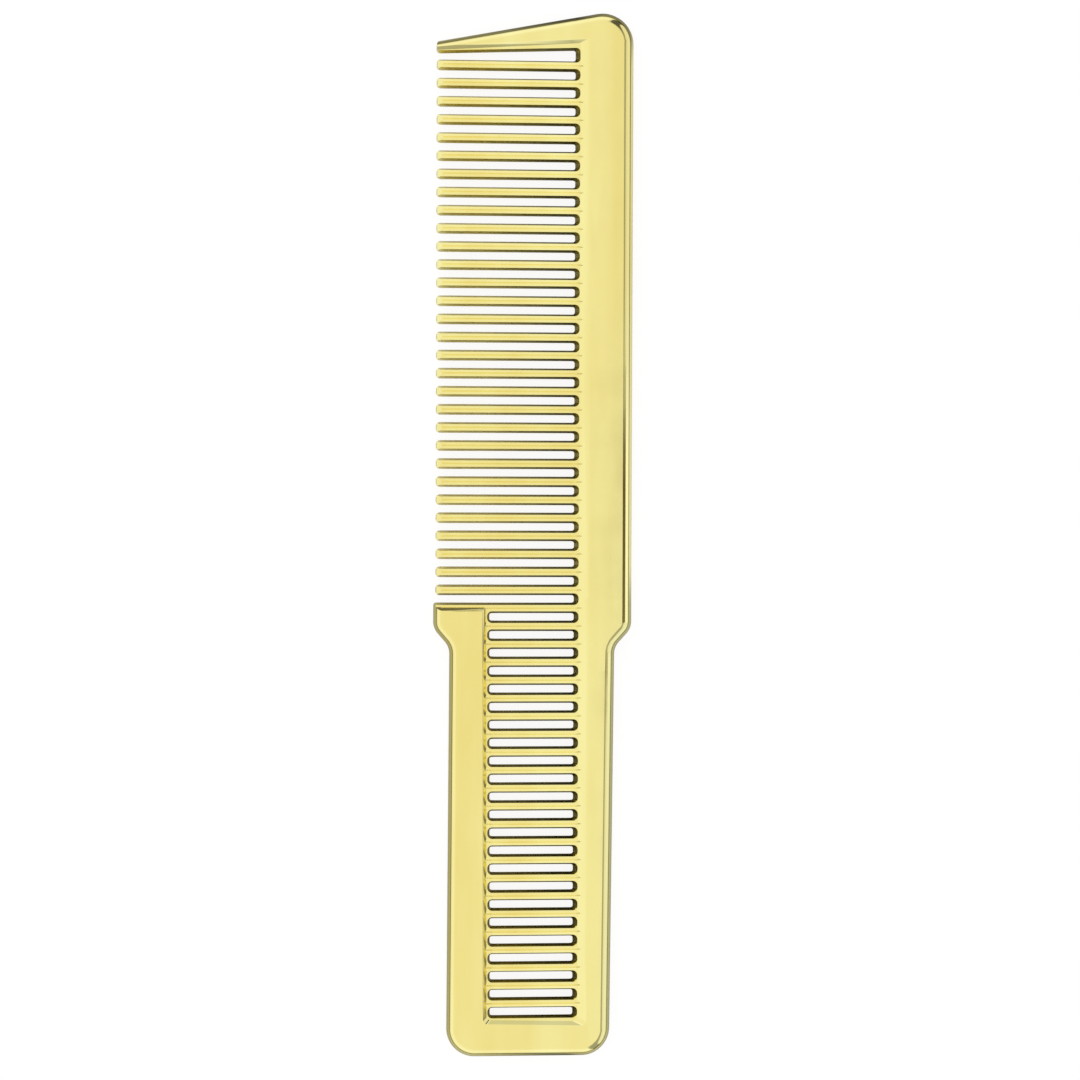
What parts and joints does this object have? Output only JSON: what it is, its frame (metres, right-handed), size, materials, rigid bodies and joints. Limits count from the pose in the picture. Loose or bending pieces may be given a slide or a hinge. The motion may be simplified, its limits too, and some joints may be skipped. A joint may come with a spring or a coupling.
{
  "type": "barber clipper comb",
  "caption": "Flat-top barber comb for cutting hair with a clipper: open teeth on a wide spine, and a stepped handle with a barred window.",
  "frame": {"origin": "middle of the comb in plan, on the surface that its flat back lies on", "axes": "+X from the tooth tips to the back of the spine, +Y along the comb from the butt of the handle to the head, +Z out of the front face"},
  "size_m": [0.0386, 0.2028, 0.004],
  "materials": {
    "plated_plastic": "pale gold metallised plating over hard plastic, mirror gloss"
  },
  "bodies": {
    "root": {"back_shoulder": "plated_plastic", "bar_01": "plated_plastic", "bar_02": "plated_plastic", "bar_03": "plated_plastic", "bar_04": "plated_plastic", "bar_05": "plated_plastic", "bar_06": "plated_plastic", "bar_07": "plated_plastic", "bar_08": "plated_plastic", "bar_09": "plated_plastic", "bar_10": "plated_plastic", "bar_11": "plated_plastic", "bar_12": "plated_plastic", "bar_13": "plated_plastic", "bar_14": "plated_plastic", "bar_15": "plated_plastic", "bar_16": "plated_plastic", "bar_17": "plated_plastic", "bar_18": "plated_plastic", "bar_19": "plated_plastic", "bar_20": "plated_plastic", "bar_21": "plated_plastic", "bar_22": "plated_plastic", "bar_23": "plated_plastic", "butt_end": "plated_plastic", "end_guard_tooth": "plated_plastic", "front_shoulder": "plated_plastic", "handle_rail": "plated_plastic", "handle_spine": "plated_plastic", "head_spine": "plated_plastic", "tooth_01": "plated_plastic", "tooth_02": "plated_plastic", "tooth_03": "plated_plastic", "tooth_04": "plated_plastic", "tooth_05": "plated_plastic", "tooth_06": "plated_plastic", "tooth_07": "plated_plastic", "tooth_08": "plated_plastic", "tooth_09": "plated_plastic", "tooth_10": "plated_plastic", "tooth_11": "plated_plastic", "tooth_12": "plated_plastic", "tooth_13": "plated_plastic", "tooth_14": "plated_plastic", "tooth_15": "plated_plastic", "tooth_16": "plated_plastic", "tooth_17": "plated_plastic", "tooth_18": "plated_plastic", "tooth_19": "plated_plastic", "tooth_20": "plated_plastic", "tooth_21": "plated_plastic", "tooth_22": "plated_plastic", "tooth_23": "plated_plastic", "tooth_24": "plated_plastic", "tooth_25": "plated_plastic", "tooth_26": "plated_plastic", "tooth_27": "plated_plastic", "tooth_28": "plated_plastic", "tooth_29": "plated_plastic", "tooth_30": "plated_plastic"}
  },
  "joints": []
}
